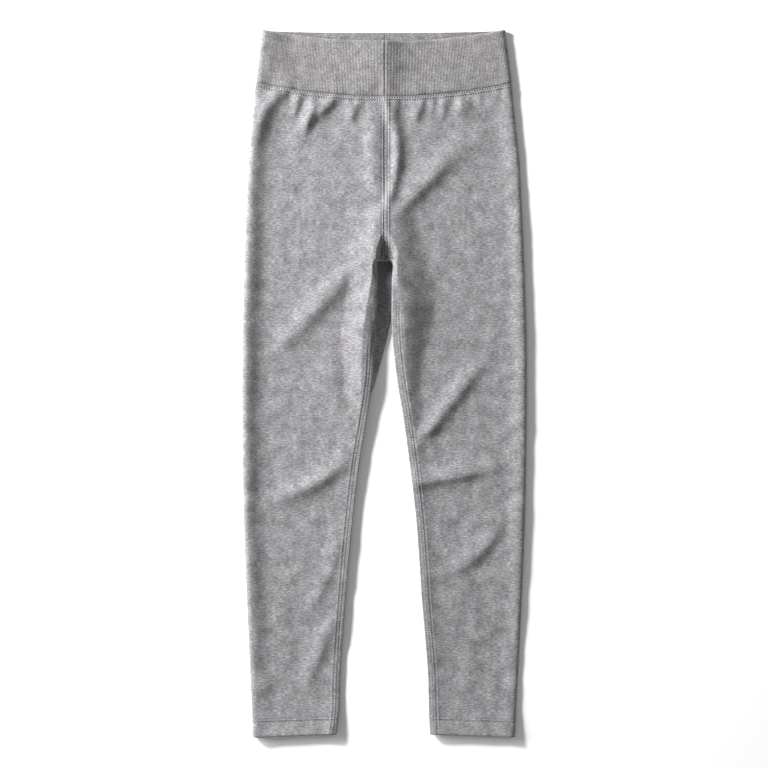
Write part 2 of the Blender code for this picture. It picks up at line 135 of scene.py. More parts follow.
waist = {
    "sideDrop": 52.6,    # the waist seam at the sides
    "frontDrop": 66.3,    # at the centre front
    "frontRise": 13.7,    # from there up to the sides
    "backDrop": 57.0,
    "backRise": 4.4,
    "half": 128.2,
}


def toSide(x):    # from 0 at the centre to 1 at the side
    return clampTo(abs(x) / waist["half"], 0.0, 1.0) ** 2


def seamDrop(x):    # the waist seam on the front
    return waist["frontDrop"] - waist["frontRise"] * toSide(x)


def backSeamDrop(x):
    return waist["backDrop"] - waist["backRise"] * toSide(x)


# Names in From give where something starts and the length that it fades in over. Names in
# End give where it has run out and the length. Other pairs are left and right, if not noted.
legs = {
    "cloth": 1.15,    # brushed jersey
    "foldReach": 4.5,    # depth of the outer side fold, seen from above
    "outerRise": (5.2, 2.8),    # the roll beside it
    "outerWidth": (10.5, 8.5),
    "rightLower": 1.3,    # the right side lies lower than the left by this much
    "rightLowerFrom": (0.0, 90.0),    # in x
    "rightLowerEnd": (690.0, 60.0),
    "innerRise": (9.4, 11.5),    # the rolls beside the gap
    "innerPower": (1.3, 1.15),    # above 1 a roll runs out softly
    "innerSoft": (0.0, 0.65),    # share of a fall that is steepest halfway
    "innerRound": 1.4,    # below 2 a roll's edge falls away sooner
    "innerRoundFrom": (236.0, 12.0),
    "lap": (0.98, 0.0),    # how much of the way the back's edge goes to backLap
    "lapLooseFrom": (360.0, 12.0),    # from here on it doesn't
    "lapTurn": 0.4,    # share of half a turn that the lap takes up
    "lapShade": 0.85,    # painted shade: the lapped cloth in the gap between the legs is coloured darker
    "lapShadeEnd": (325.0, 90.0),
    "lapShadeTurnEnd": (1.5, 0.3),    # in radians round the fold
    "crotchRise": 5.4,
    "crotchSlope": 0.2,    # the valley above the crotch rises to the right
    "crotchSpan": (-6.0, 7.0),    # between these x
    "crotchShift": 1.8,    # the valley's middle, right of the seam
    "crotchDrop": 231.8,
    "crotchHalf": 8.1,
    "crotchCorner": 2.6,
    "valleyFrom": (199.0, 26.0),
    "valleyHalf": 5.2,
    "valleyBank": (3.0, 5.5),    # width of its banks, at its start and at the crotch
    "valleyFade": 12.0,    # it runs out over this length below the crotch
    "seamInset": (3.4, 5.0),    # inseam, in from the inner edge
    "seamFrom": (57.0, 3.0),    # the long seams are pressed in from the waist seam on
    "seamPastHem": (2.0, 10.0),    # they run out here past the hem, over this length
    "shadeFull": 0.45,    # cloth pulled in this far gets a seam's full painted shade
    "centreGap": 0.04,
    "hemDepth": 19.5,
    "hemTurn": 1.2,    # radius of the turned hem's edge
    "hemTilt": 2.9,
    "hemTiltReach": 60.0,
    "ripple": 0.26,    # unevenness of the cloth as it lies
}
# height of the front's face, by drop
legLevel = (
    (50, 7.4), (66, 7.2), (95, 6.1), (200, 5.9), (400, 5.8), (560, 5.9), (664, 4.9), (684, 6.0),
    (708, 9.6),
)
outerShare = ((50, 0.5), (80, 0.8), (120, 1.0), (540, 0.95), (640, 0.6), (692, 0.3), (708, 0.2))

# columns: drop, crest inset, share and width of the left roll, then of the right one
innerRoll = (
    (172, 2.2, 1.6, 0.0, 0.0, 26, 26), (186, 2.2, 1.6, 0.3, 0.5, 26, 26),
    (200, 2.2, 1.6, 0.7, 0.75, 26, 28), (215, 2.4, 2.0, 1.08, 0.84, 27, 30),
    (232, 4.2, 2.6, 1.22, 1.02, 25, 34), (250, 6.2, 5.8, 1.28, 1.17, 23, 37),
    (270, 9.4, 10.0, 1.24, 1.16, 23, 36), (290, 12.0, 12.2, 1.14, 1.06, 22, 31),
    (310, 13.4, 12.6, 1.02, 0.86, 21, 26), (330, 12.6, 11.0, 0.9, 0.62, 20, 19),
    (350, 11.4, 10.2, 0.75, 0.48, 18, 15), (375, 9.0, 7.6, 0.5, 0.38, 20, 15),
    (405, 7.4, 6.4, 0.3, 0.22, 24, 15), (450, 6.4, 5.8, 0.2, 0.15, 24, 14),
    (560, 5.8, 5.4, 0.12, 0.12, 18, 14), (690, 5.6, 5.4, 0.1, 0.1, 14, 14),
    (708, 5.6, 5.4, 0.1, 0.1, 14, 14),
)

# how high a roll's edge stands, of its crest's height. columns: drop, left, right
edgeHeight = (
    (236, 0.5, 0.5), (248, 0.72, 0.82), (300, 0.68, 0.84), (325, 0.72, 0.84),
    (350, 0.82, 0.84), (708, 0.82, 0.84),
)
# The left leg's back edge laps under the right leg here. columns: drop, x
backLap = (
    (231, -0.05), (233, 5.5), (236, 8.0), (290, 8.0), (305, 4.6), (320, 0.2), (335, -4.2),
    (350, -8.5), (372, -15.0),
)

# A crease's crest runs through two ends and is pulled towards a middle point.
# columns: x, drop of the start, x, drop of the pull, x, drop of the end,
# rise, width of the slope towards the waist and left, width of the other slope
creases = (
    (-20, 218, -49, 265, -115, 326, 5.0, 11.5, 10),
    (-37, 427, -69, 461, -112, 468, 5.7, 10, 9.5),
    (-45, 506, -51, 543, -78, 584, 2.3, 8, 6),
    (-48, 585, -58, 602, -74, 622, 2.2, 7, 11),
    (-60, 608, -66, 632, -78, 654, 2.4, 8, 5.5),
    (-124, 668, -116, 652, -108, 640, 0.8, 9, 8),
    (-54, 326, -54, 364, -40, 396, 2.2, 11, 8),
    (3, 190, 34, 163, 66, 128, 5.5, 14, 8),
    (46, 142, 66, 120, 98, 104, 2.6, 12, 12),
    (98, 333, 68, 368, 37, 412, 4.8, 10, 8),
    (54, 391, 44, 405, 33, 404, 2.6, 6, 5),
    (14, 457, 70, 446, 118, 438, 5.2, 11, 6.5),
    (116, 490, 104, 530, 54, 546, 3.4, 11, 7),
    (-12, 70, -15, 130, -4, 190, 3.6, 9, 14),
    (8, 84, 21, 140, -4, 190, 5.6, 5.5, 6),
    (-89, 56, -124, 68, -129, 120, 4.8, 8, 7),
    (-84, 61, -87, 74, -92, 89, 4.0, 5, 4.5),
    (-68, 71, -76, 87, -82, 108, 5.3, 7, 5.5),
    (-46, 65, -56, 75, -70, 88, 4.3, 5.5, 5),
    (-29, 73, -31, 82, -35, 94, 3.1, 7, 4),
    (0, 64, 3, 78, 6, 96, 4.6, 5, 9),
    (37, 68, 34, 80, 29, 94, 3.4, 7, 5),
    (47, 71, 48, 76, 46, 83, 1.1, 5, 4),
    (61, 68, 59, 78, 55, 90, 2.7, 6, 5),
    (81, 66, 79, 76, 72, 89, 2.8, 7, 8),
    (94, 65, 95, 72, 93, 82, 1.2, 5, 6),
    (108, 63, 107, 73, 103, 86, 1.0, 6, 5),
)
creaseShape = {
    "lean": (0.82, 0.57),    # from the first slope to the second, in x and drop
    "leanChange": 0.9,    # how soon one slope's width becomes the other's
    "steps": 22,
    "endShare": 0.03,    # of half a wave, left off at each end
    "endPower": 0.7,    # below 1 the crest keeps its height near the ends
    "reach": 3.0,    # it is worked out this many widths round its crest
}


def creaseHeight(x, drop):
    total = np.zeros_like(x)
    leanX, leanDrop = creaseShape["lean"]
    ends = creaseShape["endShare"]
    steps = np.linspace(0.0, 1.0, creaseShape["steps"])
    share = np.sin(math.pi * mix(ends, 1.0 - ends, steps)) ** creaseShape["endPower"]
    a, b, c = (1 - steps) ** 2, 2 * steps * (1 - steps), steps**2
    for x0, drop0, x1, drop1, x2, drop2, rise, nearWidth, farWidth in creases:
        lineX = a * x0 + b * x1 + c * x2
        lineDrop = a * drop0 + b * drop1 + c * drop2
        reach = creaseShape["reach"] * max(nearWidth, farWidth)
        near = (x > lineX.min() - reach) & (x < lineX.max() + reach)
        near &= (drop > lineDrop.min() - reach) & (drop < lineDrop.max() + reach)
        px, pd = x[near][:, None], drop[near][:, None]
        ux, ud = np.diff(lineX), np.diff(lineDrop)
        t = clampTo(((px - lineX[:-1]) * ux + (pd - lineDrop[:-1]) * ud) / (ux**2 + ud**2), 0, 1)
        awayX, awayDrop = px - lineX[:-1] - t * ux, pd - lineDrop[:-1] - t * ud
        away = np.hypot(awayX, awayDrop)
        best = np.argmin(away, axis=1)
        pick = (np.arange(len(best)), best)
        lean = (awayX[pick] * leanX + awayDrop[pick] * leanDrop) / (away[pick] + 0.01)
        farShare = clampTo(0.5 + creaseShape["leanChange"] * lean, 0.0, 1.0)
        width = mix(nearWidth, farWidth, farShare)
        height = mix(share[:-1][best], share[1:][best], t[pick])
        total[near] += rise * height * bell(away[pick] / width)
    return total


def makeRipple(seed, shortest, longest, count):    # a smooth, uneven surface, about 1 high
    dice = random.Random(seed)
    waves = []
    for _ in range(count):
        size = dice.uniform(shortest, longest)
        turn = dice.uniform(0.0, math.pi)
        waves.append((
            math.cos(turn) * math.tau / size, math.sin(turn) * math.tau / size,
            dice.uniform(0.0, math.tau), size / longest,
        ))
    scale = 1.0 / math.sqrt(sum(w[3] ** 2 for w in waves) / 2.0)

    def ripple(x, drop):
        return scale * sum(w[3] * np.sin(x * w[0] + drop * w[1] + w[2]) for w in waves)
    return ripple


clothRipple = makeRipple(11, 14.0, 46.0, 26)
puckers = {
    "rise": 0.22,
    "highest": 5.0,    # this far below the waist seam
    "fade": 12.0,    # from there they run out over this length
    "waves": ((9.2, 0.4), (12.4, 1.7), (16.5, 4.1)),    # length and start
}


def waistPuckers(x, below):
    wave = sum(np.sin(x * math.tau / size + turn) for size, turn in puckers["waves"])
    fade = bell((below - puckers["highest"]) / puckers["fade"])
    return puckers["rise"] * wave * fade * fadeIn(below, 0.0, puckers["highest"])


def legTop(side, x, drop):    # height of the front's face
    column = sideColumn(side)
    fromOuter = curve(outerEdge, drop, column) - abs(x)
    fromInner = abs(x) - curve(innerEdge, drop, column)
    top = curve(legLevel, drop) + creaseHeight(x, drop)
    lower = legs["rightLower"] * fadeIn(x, *legs["rightLowerFrom"])
    top -= lower * fadeOut(drop, *legs["rightLowerEnd"])
    outerPart = np.maximum(fromOuter - legs["foldReach"], 0.0) / bySide(legs["outerWidth"], side)
    top += bySide(legs["outerRise"], side) * curve(outerShare, drop) * bell(outerPart)
    crest, innerShare, innerWidth = [curve(innerRoll, drop, column + k) for k in (0, 2, 4)]
    pastCrest = clampTo((fromInner - crest) / innerWidth, 0.0, 1.0)
    fall = (1.0 - pastCrest) ** bySide(legs["innerPower"], side)
    fall = mix(fall, 1.0 - smooth(pastCrest), bySide(legs["innerSoft"], side))
    top += bySide(legs["innerRise"], side) * innerShare * fall
    top += legs["ripple"] * clothRipple(x, drop)
    top += waistPuckers(x, drop - seamDrop(x))
    inValley = fadeIn(drop, *legs["valleyFrom"])
    fromMiddle = abs(x - legs["crotchShift"] * inValley)
    bankWidth = mix(*legs["valleyBank"], inValley)
    overBank = fadeIn(fromMiddle, legs["valleyHalf"] * inValley, bankWidth)
    depth = inValley * (1.0 - fadeIn(drop, legs["crotchDrop"], legs["valleyFade"]))
    low, high = legs["crotchSpan"]
    valley = legs["crotchRise"] + legs["crotchSlope"] * (clampTo(x, low, high) - low)
    return mix(mix(top, valley, depth), top, overBank)


def roundOff(into, power):    # from the crest, 1, to the edge, 0
    return (1.0 - into**power) ** (1.0 / power)


def legFront(side, x, drop):    # with the round of the inner side fold
    column = sideColumn(side)
    top = legTop(side, x, drop)
    fromInner = abs(x) - curve(innerEdge, drop, column)
    into = clampTo(1.0 - fromInner / curve(innerRoll, drop, column), 0.0, 1.0)
    edge = curve(edgeHeight, drop, column)
    rounded = top * (edge + (1.0 - edge) * roundOff(into, legs["innerRound"]))
    return mix(top, rounded, fadeIn(drop, *legs["innerRoundFrom"]))


# A leg is a grid. Its rows run from the front seam over the outer fold to the back seam, and
# below the crotch on round the inner fold. They follow each other from the waist to the hem.
rows = {
    "seamStep": 0.58,    # fine columns beside the centre front and inseam
    "seamColumns": 15,
    "frontColumns": 68,
    "outerSteps": 9,
    "backColumns": 11,
    "backFine": 8,
    "innerSteps": 13,
    "innerFine": 7,
    "innerSamples": 60,
    "frontLeanReach": 9.5,    # a row leaves the crotch at an angle and is level past this
    "waistStep": 0.5,    # fine rows at the waist seam
    "waistRows": 18,
    "upperRows": 70,
    "closingRows": 6,
    "crotchRows": 26,
    "legRows": 207,
    "hemFineFrom": 21.0,    # fine rows between these heights above the hem's edge
    "hemFineTo": 13.0,
    "hemFineRows": 16,
    "hemRows": 8,
    "turnRows": 7,
    "insideRows": 10,
}

# Rows round the crotch. columns: side drop, degrees turned, distance past the corner,
# depth of the fold, inset of the inseam, angle that the row leaves it at
crotchRows = np.array((
    (214.5, 0, 0.0, 2.4, 2.4, 42),
    (222.0, 0, 0.0, 2.4, 2.4, 34),
    (229.5, 50, 0.0, 4.2, 3.2, 18),
    (238.0, 90, 3.0, 5.2, 4.4, 6),
))
upperTo = 206.0                # down to here at the side, rows bow as the waist seam does
upperCentre = 218.0            # the last of them at the centre
closedFrom = 214.5             # from here on a row runs round the whole leg
legFrom = 248.0                # from here on it runs straight across


def closingShare(drop):    # from the bowed rows to the first one round the leg
    return max(0.0, (drop - upperTo) / (closedFrom - upperTo))


def legShare(drop):    # from the last row round the crotch to the first one straight across
    return max(0.0, min(1.0, (drop - crotchRows[-1, 0]) / (legFrom - crotchRows[-1, 0])))


def upperDrop(x, drop, seamCentre):    # of a bowed row, by its drop at the side
    drop = min(drop, upperTo)
    share = (drop - waist["sideDrop"]) / (upperTo - waist["sideDrop"])
    return drop + (mix(seamCentre, upperCentre, share) - drop) * (1.0 - toSide(x))


def hemLift(drop):    # the hem's inner corner lies higher
    reach = legs["hemDepth"] + legs["hemTiltReach"]
    return legs["hemTilt"] * fadeIn(drop, garmentLength - reach, reach)


def innerFold(side, drop):    # foot x, foot drop, turned, reach and seam inset of a closed row
    legDrop = max(drop, legFrom)
    legDrop -= hemLift(legDrop)
    column = sideColumn(side)
    legFoot, legReach = [float(curve(table, legDrop, column)) for table in (innerEdge, innerRoll)]
    legInset = bySide(legs["seamInset"], side)
    if drop >= legFrom:
        return legFoot, legDrop, math.pi / 2, legReach, legInset
    degrees, past, reach, inset = [
        np.interp(drop, crotchRows[:, 0], crotchRows[:, k]) for k in range(1, 5)
    ]
    turned = math.radians(degrees)
    footX = legs["crotchHalf"] - legs["crotchCorner"] * (1.0 - math.sin(turned))
    if drop < crotchRows[1, 0]:
        share = (drop - closedFrom) / (crotchRows[1, 0] - closedFrom)
        footX = mix(legs["centreGap"], footX, share)
    footDrop = legs["crotchDrop"] + legs["crotchCorner"] * (1.0 - math.cos(turned)) + past
    share = legShare(drop)
    return (
        mix(footX, legFoot, share), mix(footDrop, legDrop, share), turned,
        mix(reach, legReach, share), mix(inset, legInset, share),
    )


def foldPlace(side, fold, inset):    # x and drop, this far in from the fold's foot
    footX, footDrop, turned = fold[:3]
    return side * (footX + math.sin(turned) * inset), footDrop - math.cos(turned) * inset


def foldPoints(side, fold, rise, turns, depth, power=2.0, edgeShare=0.5, lap=0.0, lapTo=0.0):
    # round the side fold, depth in from the face; lap draws the back's edge to lapTo
    reach = fold[3]
    edge = rise * edgeShare
    into = clampTo(np.sin(turns), 0.0, 1.0)
    x, drop = foldPlace(side, fold, reach - (reach - depth) * into)
    x = mix(x, lapTo, lap * np.sin(clampTo(turns / legs["lapTurn"], 0.0, math.pi)) ** 2)
    above = edge + (rise - edge - depth) * roundOff(into, power)
    below = edge - (edge - depth) * np.cos(turns)
    return np.stack((x, drop, np.where(turns > math.pi / 2, above, below)), axis=1)


# How far the seams pull the cloth in. The needles' rows lie at these distances from the
# seam, and above the hem's edge.
inseamNeedle = 2.9
waistNeedles = (2.0, 5.0)
hemNeedles = (17.8, 15.0)
# columns: depth, distance, width
seamBells = ((0.42, inseamNeedle, 0.62), (-0.22, 4.4, 0.9), (0.25, 0.0, 0.5), (-0.12, 1.5, 0.6))
waistBells = (
    (0.9, 0.0, 0.75), (-0.3, 1.2, 0.4), (0.75, waistNeedles[0], 0.75), (-0.35, 3.6, 0.5),
    (0.75, waistNeedles[1], 0.75), (-0.2, 6.4, 0.6),
)
hemBells = ((0.35, hemNeedles[0], 0.5), (0.5, hemNeedles[1], 0.55), (-0.2, 16.4, 0.6))
hemSwell = (0.25, 14.0, 4.0)   # the turned hem stands out below this height, over this length
# left and right of the centre front: a flat strip beside the seam, and the bells
centreFlat = ((0.3, 0.8, 0.6), (0.3, 2.8, 0.7))
centreBells = (((-0.42, 1.9, 0.55), (0.3, 3.1, 0.6)), ((-0.36, 4.2, 0.65), (0.22, 5.5, 0.6)))
# The inseam shows from the first of these drops and fully from the second. Nearer the
# crotch it lies on the underside.
inseamFrom = ((296.0, 336.0), (262.0, 300.0))


def centreRelief(side, away):
    depth, start, length = bySide(centreFlat, side)
    return bells(away, bySide(centreBells, side), depth * (1.0 - fadeIn(away, start, length)))


def hemRelief(above):
    depth, end, length = hemSwell
    return bells(above, hemBells) - depth * fadeOut(above, end, length)


def inseamShare(side, drop):
    start, end = bySide(inseamFrom, side)
    return float(fadeIn(drop, start, end - start))


def hemShare(drop):
    past, length = legs["seamPastHem"]
    return fadeOut(drop, garmentLength + past, length)


def shadeAmount(relief, dark=0.0):    # painted shade: how dark a seam's groove paints the cloth, plus other painted shade
    return clampTo(relief / legs["shadeFull"] + dark, 0.0, 1.0)


def frontColumns(startX, endX, slopeDrop, lean):
    across = endX - startX
    fine = np.arange(rows["seamColumns"] + 1) * rows["seamStep"] / abs(across)
    t = np.concatenate((fine, evenly(fine[-1], 1.0, rows["frontColumns"])))
    x = startX + across * t
    away = abs(x - startX)
    drop = slopeDrop(x, t) - math.tan(lean) * away * np.exp(-away / rows["frontLeanReach"])
    return x, drop, away


def planRow(side, sideDrop):
    # a row's front from its seam to the outer fold, that fold, its end and the inner fold
    edge = float(curve(outerEdge, sideDrop, sideColumn(side)))
    outer = (edge, sideDrop, -math.pi / 2, legs["foldReach"])
    endX = side * (edge - legs["foldReach"])
    if sideDrop >= closedFrom:
        inner = innerFold(side, sideDrop)
        lean = math.radians(float(np.interp(sideDrop, crotchRows[:, 0], crotchRows[:, 5])))
        lean *= 1.0 - legShare(sideDrop)
        startX, startDrop = foldPlace(side, inner, inner[4])
        front = frontColumns(startX, endX, lambda x, t: mix(startDrop, sideDrop, t), lean)
        return front, outer, endX, inner
    x, drop, away = frontColumns(
        side * legs["centreGap"], endX, lambda x, t: upperDrop(x, sideDrop, waist["frontDrop"]), 0.0,
    )
    closing = closingShare(sideDrop)
    if closing > 0.0:
        nextX, nextDrop, _ = planRow(side, closedFrom)[0]
        x, drop = mix(x, nextX, closing), mix(drop, nextDrop, closing)
    return (x, drop, away), outer, endX, None


def backPart(side, sideDrop, endX, inner):    # x, drop and distance from the back seam
    closed = inner is not None
    last = inner if closed else innerFold(side, closedFrom)
    lastX, lastDrop = foldPlace(side, last, last[3])
    backEnd = lastX if closed else side * legs["centreGap"]
    step = side * rows["seamStep"]
    coarse = evenly(endX, backEnd + rows["backFine"] * step, rows["backColumns"])
    x = np.concatenate((coarse, backEnd + step * np.arange(rows["backFine"] - 1, -1, -1)))
    t = (x - endX) / (backEnd - endX)
    if closed:
        drop = mix(sideDrop, lastDrop, t)
    else:
        bowed = upperDrop(x, sideDrop, waist["backDrop"])
        drop = mix(bowed, mix(closedFrom, lastDrop, t), closingShare(sideDrop))
    return x, drop, abs(x - backEnd)


def innerPart(side, sideDrop, inner, depth, rowRelief):
    # round the inner side fold from the back to the inseam, and its painted shade
    x, drop = foldPlace(side, inner, inner[3])
    rise = legTop(side, np.array([x]), np.array([drop]))[0]
    shape = {
        "power": float(mix(2.0, legs["innerRound"], fadeIn(sideDrop, *legs["innerRoundFrom"]))),
        "edgeShare": float(curve(edgeHeight, sideDrop, sideColumn(side))),
        "lap": float(bySide(legs["lap"], side) * (1.0 - fadeIn(inner[1], *legs["lapLooseFrom"]))),
        "lapTo": float(curve(backLap, inner[1])),
    }
    seamTurn = math.pi - math.asin(max(0.0, min(1.0, 1.0 - inner[4] / inner[3])))
    many = np.linspace(0.0, seamTurn, rows["innerSamples"])
    length = runLength(foldPoints(side, inner, rise, many, np.zeros(len(many)), **shape))
    fine = length[-1] - rows["seamStep"] * np.arange(rows["innerFine"], 0, -1)
    wanted = np.concatenate((evenly(0.0, fine[0], rows["innerSteps"])[:-1], fine))
    turns = np.interp(wanted, length, many)
    relief = bells(length[-1] - wanted, seamBells) * inseamShare(side, sideDrop) * hemShare(sideDrop)
    if depth > 0:
        relief = relief * 0.0
    depths = np.maximum(relief + rowRelief + depth, 0.0)
    # painted shade on the lapped cloth in the gap between the legs, added to the seams' painted shade
    dark = shape["lap"] * legs["lapShade"] * fadeOut(turns, *legs["lapShadeTurnEnd"])
    dark = dark * fadeOut(inner[1], *legs["lapShadeEnd"])
    points = foldPoints(side, inner, rise, turns, depths, **shape)
    return points, shadeAmount(np.maximum(relief, rowRelief), dark)


def legRow(side, sideDrop, depth, shift):
    # the points of a row, the painted shade in its seams' grooves, and whether the row is closed; depth
    # > 0 is the turned hem's inner layer, which has no seams
    (x, drop, away), outer, endX, inner = planRow(side, sideDrop)
    closed = inner is not None
    seams = fadeIn(sideDrop, *legs["seamFrom"]) if depth == 0 else 0.0
    rowRelief = bells(sideDrop - waist["sideDrop"], waistBells)
    if depth == 0:
        rowRelief += hemRelief(garmentLength - sideDrop)
    relief = centreRelief(side, away)
    if closed:
        inseam = bells(away, seamBells) * inseamShare(side, sideDrop)
        blend = (sideDrop - closedFrom) / (legFrom - closedFrom)
        relief = mix(relief, inseam, blend) if blend < 1.0 else inseam
    relief = relief * seams * hemShare(sideDrop)
    z = legFront(side, x, drop) - (relief + rowRelief + depth)
    points = [np.stack((x, drop, z), axis=1)]
    # painted shade in the seams' grooves, deeper where the cloth is pulled in further
    paintedShade = [shadeAmount(np.maximum(relief, rowRelief))]

    turns = evenly(math.pi, 0.0, rows["outerSteps"])
    rise = float(legTop(side, np.array([endX]), np.array([drop[-1]]))[0])
    backStart = sideDrop
    if not closed:
        bowed = upperDrop(endX, sideDrop, waist["backDrop"])
        backStart = mix(bowed, closedFrom, closingShare(sideDrop))
    fold = foldPoints(side, outer, rise, turns, np.full(len(turns), depth + rowRelief))
    fold[:, 1] = mix(drop[-1], backStart, smooth(1.0 - turns / math.pi))
    points.append(fold)
    paintedShade.append(np.full(len(turns), shadeAmount(rowRelief)))

    backX, backDrop, backAway = backPart(side, sideDrop, endX, inner)
    backRelief = np.full(len(backX), max(rowRelief, 0.0))
    if not closed:
        backRelief += np.maximum(bells(backAway, seamBells), 0.0) * seams
    points.append(np.stack((backX, backDrop, backRelief + depth), axis=1))
    paintedShade.append(shadeAmount(backRelief))

    if closed:
        innerPoints, innerShade = innerPart(side, sideDrop, inner, depth, rowRelief)
        points.append(innerPoints)
        paintedShade.append(innerShade)
    points = np.concatenate(points)
    points[:, 1] += shift
    return points, np.concatenate(paintedShade), closed


def turnedEdge(turn, count):    # depth and shift of the rows round a turned edge
    return [(turn * (1 - math.cos(a)), turn * math.sin(a)) for a in evenly(0.0, math.pi, count)]


def legStations():    # side drop, depth and shift of each row, from the waist round the hem
    turn = legs["hemTurn"]
    last = garmentLength - turn
    fineFrom, fineTo = garmentLength - rows["hemFineFrom"], garmentLength - rows["hemFineTo"]
    seam = waist["sideDrop"] + rows["waistStep"] * np.arange(rows["waistRows"])
    drops = np.concatenate((
        seam,
        evenly(seam[-1], upperTo, rows["upperRows"]),
        evenly(upperTo, closedFrom, rows["closingRows"]),
        evenly(closedFrom, legFrom, rows["crotchRows"]),
        evenly(legFrom, fineFrom, rows["legRows"]),
        evenly(fineFrom, fineTo, rows["hemFineRows"]),
        evenly(fineTo, last, rows["hemRows"]),
    ))
    stations = [(drop, 0.0, 0.0) for drop in drops]
    stations += [(last, depth, shift) for depth, shift in turnedEdge(turn, rows["turnRows"])]
    for inward in evenly(0.0, legs["hemDepth"] - turn, rows["insideRows"]):
        stations.append((last - inward, 2 * turn, 0.0))
    return stations


def toMetres(points):
    return np.stack((points[:, 0], garmentLength / 2.0 - points[:, 1], points[:, 2]), axis=1) * mm


def gridMesh(name, grids, flags, paintedShade, flip):
    # rows of points to a mesh; a closed row joins its last column to its first
    width = max(len(row) for row in grids)
    openWidth = min(len(row) for row in grids)
    start = np.concatenate(([0], np.cumsum([len(row) for row in grids])))
    middle = rows["seamColumns"] + rows["frontColumns"] + rows["outerSteps"] // 2
    lengths = []
    for row, closed in zip(grids, flags):
        run = runLength(np.concatenate((row, row[:1])) if closed else row)
        lengths.append(run - run[middle])
    faces, uvs = [], []
    for i in range(len(grids) - 1):
        closed = flags[i] and flags[i + 1]
        columns = width if closed else openWidth - 1
        for j in range(columns):
            k = (j + 1) % width if closed else j + 1
            corner = [(i, j, j), (i, k, j + 1), (i + 1, k, j + 1), (i + 1, j, j)]
            if flip:
                corner.reverse()
            faces.append([int(start[a] + b) for a, b, _ in corner])
            uvs.extend((lengths[a][c], -grids[a][b][1]) for a, b, c in corner)
    mesh = bpy.data.meshes.new(name)
    mesh.from_pydata(toMetres(np.concatenate(grids)).tolist(), [], faces)
    layer = mesh.uv_layers.new(name="cloth")
    layer.data.foreach_set("uv", np.array(uvs, dtype=np.float32).ravel())
    shadePainted = mesh.attributes.new("paintedShade", "FLOAT", "POINT")
    shadePainted.data.foreach_set("value", np.concatenate(paintedShade).astype(np.float32))
    return mesh


def addPiece(name, mesh, material):
    piece = bpy.data.objects.new(name, mesh)
    bpy.context.scene.collection.objects.link(piece)
    mesh.materials.append(material)
    mesh.shade_smooth()
    return piece


def thicken(piece, thickness):    # the cloth's own thickness, inwards from its face
    bpy.ops.object.select_all(action="DESELECT")
    piece.select_set(True)
    bpy.context.view_layer.objects.active = piece
    wall = piece.modifiers.new("cloth", "SOLIDIFY")
    wall.thickness = thickness * mm
    wall.offset = -1.0
    bpy.ops.object.modifier_apply(modifier=wall.name)
    for vertex in piece.data.vertices:    # nothing lies under the surface
        vertex.co.z = max(vertex.co.z, 0.0)


def tone(code):    # an sRGB hex value as linear red, green, blue
    parts = [int(code[k:k + 2], 16) / 255.0 for k in (0, 2, 4)]
    linear = [p / 12.92 if p <= 0.04045 else ((p + 0.055) / 1.055) ** 2.4 for p in parts]
    return (*linear, 1.0)


def addNode(tree, kind, inputs=None, **settings):
    made = tree.nodes.new("ShaderNode" + kind)
    for key, value in settings.items():
        setattr(made, key, value)
    for key, value in (inputs or {}).items():
        if isinstance(value, bpy.types.NodeSocket):
            tree.links.new(value, made.inputs[key])
        else:
            made.inputs[key].default_value = value
    return made


def newMaterial(name):
    material = bpy.data.materials.new(name)
    material.use_nodes = True
    material.node_tree.nodes.clear()
    return material, material.node_tree


def ramp(tree, source, stops):
    made = addNode(tree, "ValToRGB", {"Fac": source})
    band = made.color_ramp
    while len(band.elements) < len(stops):
        band.elements.new(0.5)
    for element, (place, colour) in zip(band.elements, stops):
        element.position = place
        element.color = colour
    return made.outputs["Color"]


def grey(level):
    return (level, level, level, 1.0)


# Brushed jersey knitted from heather cotton yarn: dyed and raw fibres are spun together, so
# short light and dark flecks run along it, and the face is matt and slightly hairy. Its
# stitches are about 0.7 by 0.5 mm and are drawn coarser, to show.
jersey = {
    "light": "979699", "middle": "79787a", "dark": "575659", "speck": "2c2b2e",
    "cool": "777d7c", "warm": "817a7d",
    "fleck": (4.0, 1.2),    # length along the course, height
    "fine": (1.6, 0.85),
    "mottle": 12.0,
    "knit": (1.1, 0.9),    # wale and course spacing
    "bump": 0.24,
}
# The same yarn knitted as rib, a little warmer and more even, with shorter flecks. The ribs
# themselves are in the mesh, and its stitches too are drawn coarser.
rib = {
    "light": "8d8b8a", "middle": "727070", "dark": "565454", "speck": "353333",
    "cool": "717373", "warm": "767171",
    "fleck": (2.6, 1.4),
    "fine": (0.9, 1.2),
    "mottle": 9.0,
    "knit": (0.9, 1.2),
    "bump": 0.2,
}
knitFace = {    # what both have in common
    "fineShare": 0.4,    # of the finer flecks in the yarn's tone
    "tintShare": 0.22,
    # painted shade: seam grooves, rib grooves and the lapped cloth are mixed towards this dark tone
    "shadeTone": "3a393c",
    "shadeStrength": 0.78,
    "stitchRise": 0.16,
    "fuzzRise": 3.0,
    "bumpDistance": 0.4,
}


